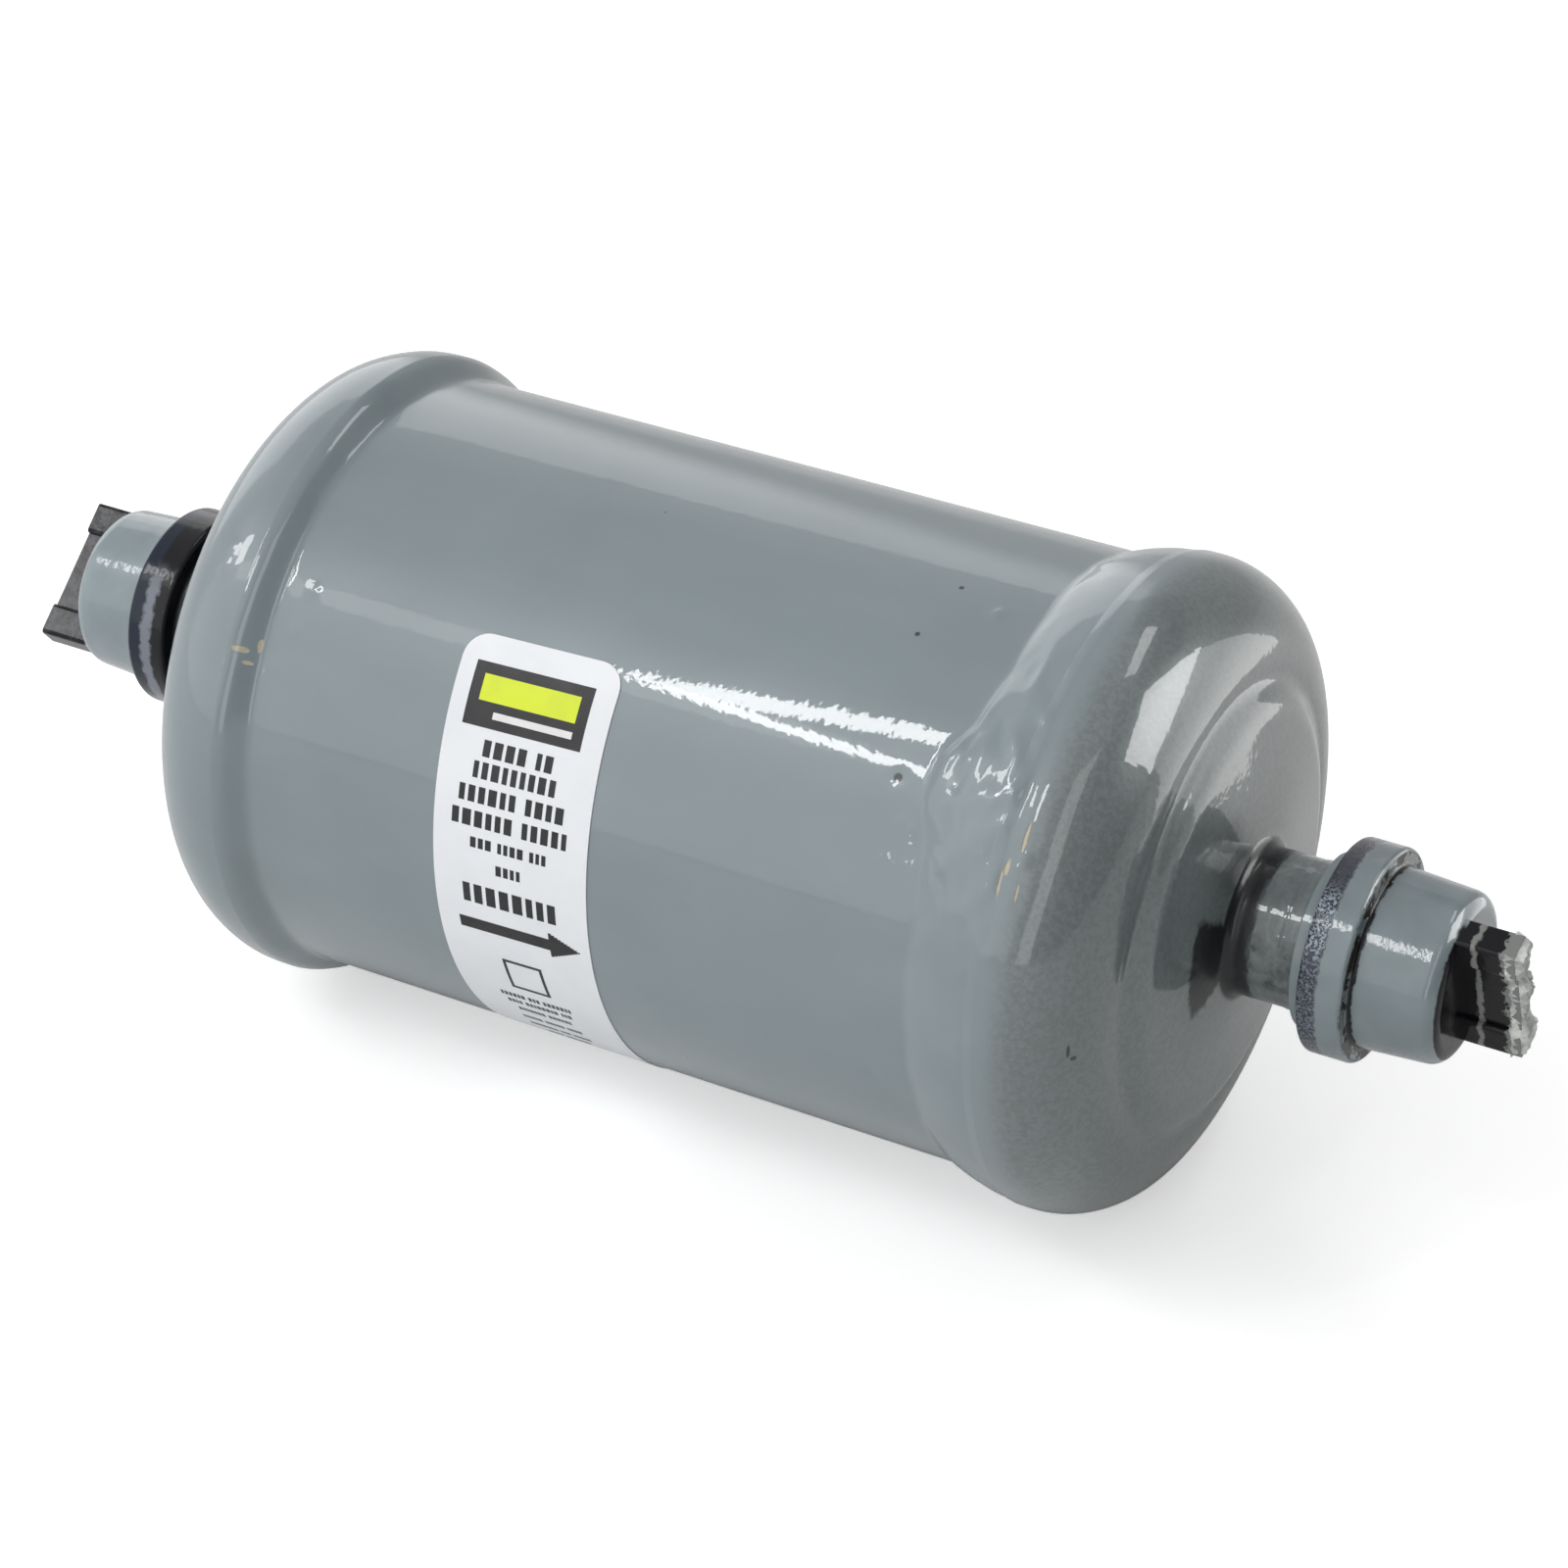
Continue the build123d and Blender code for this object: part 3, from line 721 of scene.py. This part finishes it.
def paint_coat():
    """One closed skin, turned from the outline, with weld waves, sags and ridges in the paint."""
    middle = END_STARTS - BARREL_STEP
    barrel = np.array([(place, SHELL_R) for place in np.arange(-middle, middle + 0.1, BARREL_STEP)])
    outer = np.concatenate([end_outline(-1)[::-1] * (-1, 1), barrel, end_outline(1)])
    inner = np.concatenate([end_lining(1), end_lining(-1)[::-1]])
    along = np.gradient(outer, axis=0)
    along /= np.linalg.norm(along, axis=1)[:, None]
    angle = np.linspace(0, 2 * math.pi, AROUND, endpoint=False)
    place, turn = np.meshgrid(outer[:, 0], angle, indexing="ij")
    raised = relief_of_paint(place, turn, outer[:, 1:])
    x = outer[:, :1] - along[:, 1:] * raised
    radius = outer[:, 1:] + along[:, :1] * raised
    x = np.concatenate([x, np.repeat(inner[:, :1], AROUND, 1)])
    radius = np.concatenate([radius, np.repeat(inner[:, 1:], AROUND, 1)])
    verts = np.stack([x, -radius * np.cos(angle), radius * np.sin(angle)], -1).reshape(-1, 3)
    coat = mesh_object("paint_coat", verts, ring_faces(len(x), AROUND), "drier", paint, 50)
    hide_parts("shell_tube", "inlet_end_cap", "outlet_end_cap", "inlet_seam_weld",
                "outlet_seam_weld", "inlet_braze_ring", "outlet_braze_ring")


paint_coat()

# --- Torn end of the outlet cap's tab -----------------------------------------------------------

TAB_HALF_WIDTH = 8.9
TAB_HALF_WEB = 1.1
TAB_HALF_RIB = 1.8
TAB_RIB = 4.0
TORN_DEPTH = 1.4
TORN_COLUMNS = 46
TORN_ROWS = 9


def torn_tab_end():
    """A pale rough crust on the tab's end, where it was torn from its sprue: one closed lump."""
    pick = np.random.RandomState(8)
    top, bottom = [], []
    for column in range(TORN_COLUMNS):
        wide = TAB_HALF_WIDTH * (2 * column / (TORN_COLUMNS - 1) - 1)
        half = TAB_HALF_RIB if abs(wide) > TAB_HALF_WIDTH - TAB_RIB else TAB_HALF_WEB
        sag = 0.35 + 0.30 * math.sin(wide * 0.9) + pick.uniform(-0.12, 0.12)
        for row in range(TORN_ROWS):
            across = 2 * row / (TORN_ROWS - 1) - 1
            edge = abs(across) > 0.99 or column in (0, TORN_COLUMNS - 1)
            thin = across * (half + 0.10 + pick.uniform(-0.10, 0.12))
            lift = -0.75 - 0.5 * pick.rand() if edge else 0.18 + sag + pick.uniform(-0.22, 0.28)
            spot = TAB_WIDE * (wide * 1.01) + TAB_THIN * thin
            top.append((OUTLET_TAB_END + lift, spot.y, spot.z))
            inner = TAB_WIDE * (wide * 0.96) + TAB_THIN * across * half * 0.8
            bottom.append((OUTLET_TAB_END - TORN_DEPTH, inner.y, inner.z))
    layers = np.array([bottom, top]).reshape(2, TORN_COLUMNS, TORN_ROWS, 3)
    verts = layers.transpose(0, 2, 1, 3).reshape(-1, 3)
    faces = slab_faces(TORN_ROWS, TORN_COLUMNS)
    mesh_object("torn_tab_end", verts, faces, "outlet_cap", torn_plastic, 30)


torn_tab_end()

# --- Label ------------------------------------------------------------------------------------

LABEL_TILT = math.radians(1.8)
LABEL_WIDTH = LABEL_RIGHT - LABEL_LEFT
LABEL_MIDDLE_X = (LABEL_LEFT + LABEL_RIGHT) / 2 + 0.45
LABEL_TOP_ARC = arc_of(46.5)
LABEL_BOTTOM_ARC = arc_of(-64.5)
LABEL_CORNER = 3.0
CORNER_STEPS = 9
LABEL_R = SHELL_R + 0.05
LABEL_SHEET = 0.12
LABEL_TOP_R = LABEL_R + LABEL_SHEET
PRINT_HEIGHT = 0.02
PRINT_OVER_PRINT = 0.035
PRINT_SINK = 0.02

# The header field as (left, right, bottom, top); rows of word bars as (angle, height, bar width,
# bars in each word).
FIELD = (-7.9, 7.2, arc_of(30.0), arc_of(41.5))
FIELD_MARGIN = 1.4
WORD_ROWS = ((26.5, 1.9, 1.15, (4, 2)), (22.5, 1.9, 1.15, (9,)), (18.0, 1.9, 1.15, (6, 4)),
             (13.5, 1.9, 1.15, (6, 5)), (9.0, 1.25, 0.75, (3, 4, 3)), (4.5, 1.25, 0.75, (4,)),
             (-1.5, 2.5, 1.35, (8,)), (-27.5, 0.8, 0.45, (6, 3, 7)), (-30.0, 0.8, 0.45, (4, 8, 3)),
             (-33.0, 0.8, 0.45, (7, 6)), (-37.0, 0.8, 0.45, (5, 5, 4)), (-41.0, 0.8, 0.45, (7, 3, 5)),
             (-45.0, 0.8, 0.45, (4, 6)))
WORDS_MIDDLE = -0.2
FIRST_WORD_SEED = 20
ARROW_ARC = arc_of(-8.5)
ARROW_LEFT = -7.2
ARROW_HEAD_LEFT = 4.6
ARROW_HEAD_LENGTH = 4.0
ARROW_HALF_SHAFT = 0.8
ARROW_HALF_HEAD = 1.8
ARROW_STEPS = 10
FRAME_ARC = arc_of(-20)
FRAME_HALF = 2.6
FRAME_INNER_HALF = 2.2


def label_point(across, up):
    """Axial place and arc of a point on the label (mm right of its middle and above the front)."""
    tilt_from = up - (LABEL_TOP_ARC + LABEL_BOTTOM_ARC) / 2
    x = LABEL_MIDDLE_X + across * math.cos(LABEL_TILT) - tilt_from * math.sin(LABEL_TILT)
    return x, up + across * math.sin(LABEL_TILT)


def wrapped_slab(rows, columns, low, high, start=0):
    """Vertices and faces of a thin closed slab wrapped on the shell. rows gives (up, left, right)."""
    verts = []
    for radius in (low, high):
        for up, left, right in rows:
            for step in range(columns + 1):
                x, arc = label_point(left + (right - left) * step / columns, up)
                verts.append(on_shell(x, arc, radius))
    return verts, slab_faces(len(rows), columns + 1, start)


def label_sheet():
    """The white label: a thin sheet with rounded corners that lies on the paint."""
    half = LABEL_WIDTH / 2
    corner = [(LABEL_CORNER * (1 - math.cos(turn)), LABEL_CORNER * (1 - math.sin(turn)))
              for turn in np.linspace(0, math.pi / 2, CORNER_STEPS)]
    straight = np.arange(LABEL_BOTTOM_ARC + LABEL_CORNER + 1, LABEL_TOP_ARC - LABEL_CORNER - 0.5, 1.0)
    rows = [(LABEL_BOTTOM_ARC + rise, inset) for rise, inset in corner]
    rows += [(up, 0.0) for up in straight]
    rows += [(LABEL_TOP_ARC - rise, inset) for rise, inset in reversed(corner)]
    rows = [(up, -half + inset, half - inset) for up, inset in rows]
    verts, faces = wrapped_slab(rows, 20, LABEL_R, LABEL_TOP_R)
    sheet = mesh_object("label_sheet", verts, faces, "drier", label_paper)
    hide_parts("label")


def printed(name, boxes, material, height=PRINT_HEIGHT):
    """Printed fields: thin raised patches, each (left, right, bottom, top) in label millimetres."""
    top_r = LABEL_TOP_R + height
    verts, faces = [], []
    for left, right, bottom, top in boxes:
        count = max(2, math.ceil(top - bottom) + 1)
        rows = [(bottom + (top - bottom) * step / (count - 1), left, right) for step in range(count)]
        more, quads = wrapped_slab(rows, 1, LABEL_TOP_R - PRINT_SINK, top_r, len(verts))
        verts += more
        faces += quads
    mesh_object(name, verts, faces, "drier", material)


def dummy_words(seed, centre, height, width, lengths):
    """A row of plain upright bars grouped like words, centred on the label."""
    pick = np.random.RandomState(seed)
    gap, space = width * 0.38, width * 1.15
    bars = []
    cursor = 0.0
    for length in lengths:
        for _ in range(length):
            bar = width * pick.uniform(0.55, 1.0)
            bars.append((cursor, cursor + bar))
            cursor += bar + gap
        cursor += space - gap
    start = WORDS_MIDDLE - (cursor - space) / 2
    return [(start + left, start + right, centre - height / 2, centre + height / 2)
            for left, right in bars]


def print_header():
    """A dark field with a lime patch and a white line."""
    left, right, bottom, top = FIELD
    patch = (left + FIELD_MARGIN, right - FIELD_MARGIN, top - 4.3, top - 1.3)
    line = (left + 3.6, right - FIELD_MARGIN, bottom + 1.1, bottom + 1.9)
    printed("label_header", [FIELD], ink)
    printed("label_header_bar", [patch], lime_ink, PRINT_OVER_PRINT)
    printed("label_header_line", [line], white_ink, PRINT_OVER_PRINT)


def print_words():
    """Bars in place of the words."""
    bars = []
    for seed, (angle, height, width, lengths) in enumerate(WORD_ROWS, FIRST_WORD_SEED):
        bars += dummy_words(seed, arc_of(angle), height, width, lengths)
    printed("label_word_bars", bars, ink)


def print_arrow():
    """The flow arrow, which points to the outlet."""
    boxes = [(ARROW_LEFT, ARROW_HEAD_LEFT, ARROW_ARC - ARROW_HALF_SHAFT, ARROW_ARC + ARROW_HALF_SHAFT)]
    for step in range(ARROW_STEPS):
        left = ARROW_HEAD_LEFT + ARROW_HEAD_LENGTH * step / ARROW_STEPS
        right = ARROW_HEAD_LEFT + ARROW_HEAD_LENGTH * (step + 1) / ARROW_STEPS
        half = ARROW_HALF_HEAD * (1 - (step + 0.5) / ARROW_STEPS)
        boxes.append((left, right, ARROW_ARC - half, ARROW_ARC + half))
    printed("label_flow_arrow", boxes, ink)


def print_frame():
    """A bare square outline."""
    low, high = FRAME_ARC - FRAME_HALF, FRAME_ARC + FRAME_HALF
    inner_low, inner_high = FRAME_ARC - FRAME_INNER_HALF, FRAME_ARC + FRAME_INNER_HALF
    printed("label_frame", [(-FRAME_HALF, FRAME_HALF, inner_high, high),
                            (-FRAME_HALF, FRAME_HALF, low, inner_low),
                            (-FRAME_HALF, -FRAME_INNER_HALF, inner_low, inner_high),
                            (FRAME_INNER_HALF, FRAME_HALF, inner_low, inner_high)], ink)


label_sheet()
print_header()
print_words()
print_arrow()
print_frame()

# --- Camera -----------------------------------------------------------------------------------

VIEW_AZIMUTH = 29.414
VIEW_ELEVATION = 32.119
VIEW_DISTANCE = 549.6
VIEW_AIM_RIGHT = 4.51
VIEW_AIM_UP = -1.80
FILM_WIDTH = 36.0
LENS = 108.43


def direction(azimuth, elevation):
    """Unit vector towards a place in the studio: azimuth 0 is -Y, 90 is +X."""
    azimuth, elevation = math.radians(azimuth), math.radians(elevation)
    return Vector((math.sin(azimuth) * math.cos(elevation), -math.cos(azimuth) * math.cos(elevation),
                   math.sin(elevation)))


def camera():
    """The photo's view."""
    back = direction(VIEW_AZIMUTH, VIEW_ELEVATION)
    right = direction(VIEW_AZIMUTH + 90, 0)
    data = bpy.data.cameras.new("camera")
    data.sensor_fit = "HORIZONTAL"
    data.sensor_width = FILM_WIDTH
    data.lens = LENS
    data.clip_start = 0.01
    eye = bpy.data.objects.new("camera", data)
    eye.location = back * VIEW_DISTANCE * MM
    aim = (right * VIEW_AIM_RIGHT + back.cross(right) * VIEW_AIM_UP) * MM
    eye.rotation_euler = (aim - eye.location).to_track_quat("-Z", "Y").to_euler()
    bpy.context.collection.objects.link(eye)
    bpy.context.scene.camera = eye


camera()

# --- Room and floor -----------------------------------------------------------------------------

# Levels of the room's light, as seen in the object's gloss.
ROOM_LEVEL = 0.75
WALL_GLOW = 1.1
FRONT_GLOW = 0.85
BAND_GLOW = 2.2
STRIPE_LOSS = 0.70
SECTOR_LOSS = 0.88

# A place in the room is a unit vector (east, north, high). Two more measures of it are how far it
# lies past the camera's side, and how far it lies towards the outlet's side.
PAST_CAMERA = (0.915, 0.239, -0.324)
TO_SIDE = (0.924, -0.383, 0.0)
WALL_STARTS = (0.20, 0.28)
WALL_TOP = (0.605, 0.615)
FRONT_ENDS = (-0.3, 0.0)
FRONT_TOP = (0.60, 0.85)
STRIPE_STARTS = (-0.34, -0.22)
STRIPE_TOP = (0.80, 0.92)
BAND_EDGES = (-0.115, 0.115)
BAND_TOP = (0.86, 0.88)
BAND_FRONT_ENDS = (-0.05, 0.0)
SECTOR_STARTS = (0.105, 0.125)
SECTOR_SIDE_STARTS = (0.48, 0.58)


def room_light(make, east, north, high):
    """The room's brightness in one direction."""
    past_camera = make.plus(*[make.times(*pair) for pair in zip((east, north, high), PAST_CAMERA)])
    to_side = make.plus(*[make.times(*pair) for pair in zip((east, north, high), TO_SIDE)])
    wall = make.times(make.ramp(north, WALL_STARTS), make.fade(high, WALL_TOP))
    front = make.times(make.fade(north, FRONT_ENDS), make.fade(high, FRONT_TOP))
    stripe = make.times(make.ramp(past_camera, STRIPE_STARTS), make.fade(high, STRIPE_TOP))
    band = make.times(make.band(past_camera, BAND_EDGES, 0.01), make.fade(high, BAND_TOP),
                      make.fade(north, BAND_FRONT_ENDS))
    sector = make.times(make.ramp(past_camera, SECTOR_STARTS), make.ramp(to_side, SECTOR_SIDE_STARTS))
    glow = make.plus(ROOM_LEVEL, make.times(wall, WALL_GLOW), make.times(front, FRONT_GLOW))
    glow = make.times(glow, make.minus(1.0, make.times(stripe, STRIPE_LOSS)))
    glow = make.plus(glow, make.times(band, BAND_GLOW))
    return make.times(glow, make.minus(1.0, make.times(sector, SECTOR_LOSS)))


def room():
    """A soft room: bright wall behind, open front, dim ceiling and right side, white to the camera."""
    world = bpy.data.worlds.new("room")
    bpy.context.scene.world = world
    world.use_nodes = True
    make = Nodes(world.node_tree)
    make.tree.nodes.clear()
    split = make.add("ShaderNodeSeparateXYZ")
    make.put(split.inputs[0], make.add("ShaderNodeTexCoord").outputs["Generated"])
    strength = make.add("ShaderNodeMix")
    make.put(strength.inputs["Factor"], make.add("ShaderNodeLightPath").outputs["Is Camera Ray"])
    make.put(strength.inputs[2], room_light(make, *split.outputs))
    make.put(strength.inputs[3], 1.0)
    background = make.add("ShaderNodeBackground")
    make.put(background.inputs["Strength"], strength.outputs[0])
    make.put(make.add("ShaderNodeOutputWorld").inputs[0], background.outputs[0])


FLOOR_HALF = 3000
FLOOR_GAP = 0.1
FLOOR_TONE = 0.80
FLOOR_LIFT = 0.50


def floor():
    """A pale floor that the drier lies on. It shows white to the camera and keeps a soft shadow."""
    height = -RIM_R - FLOOR_GAP
    corners = [(-FLOOR_HALF, -FLOOR_HALF), (FLOOR_HALF, -FLOOR_HALF), (FLOOR_HALF, FLOOR_HALF),
               (-FLOOR_HALF, FLOOR_HALF)]
    mesh = bpy.data.meshes.new("floor")
    mesh.from_pydata([(x * MM, y * MM, height * MM) for x, y in corners], [], [(0, 1, 2, 3)])
    plane = bpy.data.objects.new("floor", mesh)
    bpy.context.collection.objects.link(plane)
    material = bpy.data.materials.new("floor_white")
    material.use_nodes = True
    make = Nodes(material.node_tree)
    inputs = make.tree.nodes["Principled BSDF"].inputs
    inputs["Base Color"].default_value = (FLOOR_TONE, FLOOR_TONE, FLOOR_TONE, 1)
    inputs["Roughness"].default_value = 0.9
    inputs["Emission Color"].default_value = (1, 1, 1, 1)
    camera_ray = make.add("ShaderNodeLightPath").outputs["Is Camera Ray"]
    make.put(inputs["Emission Strength"], make.times(camera_ray, FLOOR_LIFT))
    mesh.materials.append(material)


room()
floor()

# --- Lamps ------------------------------------------------------------------------------------

CEILING = 800
EAST = Vector((1, 0, 0))
NORTH = Vector((0, 1, 0))
STRIP_CORNER = Vector((-450, -545, CEILING))
STRIP_THICKNESS = 45
STRIP_RADIANCE = 16.0
CARD_AZIMUTH = 128
CARD_DISTANCE = 120
DOME_POINT = Vector((60, 0, 55))


def lamp(name, place, across, width, height, radiance, aim=(0, 0, 0), glossy_only=False):
    """A rectangular area light at a place (mm) of a given brightness to look at, width along across."""
    data = bpy.data.lights.new(name, "AREA")
    data.shape = "RECTANGLE"
    data.size, data.size_y = width * MM, height * MM
    data.energy = radiance * math.pi * data.size * data.size_y
    away = Vector(place) - Vector(aim)
    side = Vector(across).normalized()
    back = (away - away.dot(side) * side).normalized()
    box = bpy.data.objects.new(name, data)
    box.matrix_world = Matrix.Translation(Vector(place) * MM) @ Matrix(
        (side, back.cross(side), back)).transposed().to_4x4()
    box.visible_diffuse = not glossy_only
    box.visible_camera = False
    bpy.context.collection.objects.link(box)


def light_strip(name, stop):
    """A long thin light from the strips' common corner to another place."""
    run = stop - STRIP_CORNER
    lamp(name, (STRIP_CORNER + stop) / 2, run, run.length, STRIP_THICKNESS, STRIP_RADIANCE)


def cards():
    """Two cards beside the outlet dome, seen only in gloss: they make the dome's pale patches."""
    out = direction(CARD_AZIMUTH, 0)
    along = direction(CARD_AZIMUTH + 90, 0)
    slant = along * 0.515 - Vector((0, 0, 0.857))
    middle = DOME_POINT + out * CARD_DISTANCE - along * 10
    aim = middle - out * CARD_DISTANCE
    lamp("card_bright", middle - slant * 70, slant, 125, 90, 7.5, aim, glossy_only=True)
    lamp("card_dim", middle + slant * 50, slant, 115, 80, 1.6, aim, glossy_only=True)


light_strip("strip_upper", Vector((-290, -335, CEILING)))
light_strip("strip_lower", Vector((-350, -655, CEILING)))
lamp("strip_end", (-95, -640, CEILING), NORTH, width=300, height=50, radiance=12.0)
lamp("strip_middle", (-250, -585, CEILING), NORTH, width=160, height=60, radiance=12.0)
lamp("soft_panel", (-560, -600, CEILING), EAST, width=350, height=120, radiance=1.3)
lamp("left_box", (-720, -430, CEILING), (0.35, 0.94, 0), width=200, height=150, radiance=9.0)
lamp("low_lamp", (-306, -888, 342), EAST, width=60, height=35, radiance=9.0)
lamp("back_lamp", direction(150, 62) * 1000, (1, 0.6, 0), width=150, height=400, radiance=4.0)
cards()
bpy.context.scene.view_settings.view_transform = "Standard"
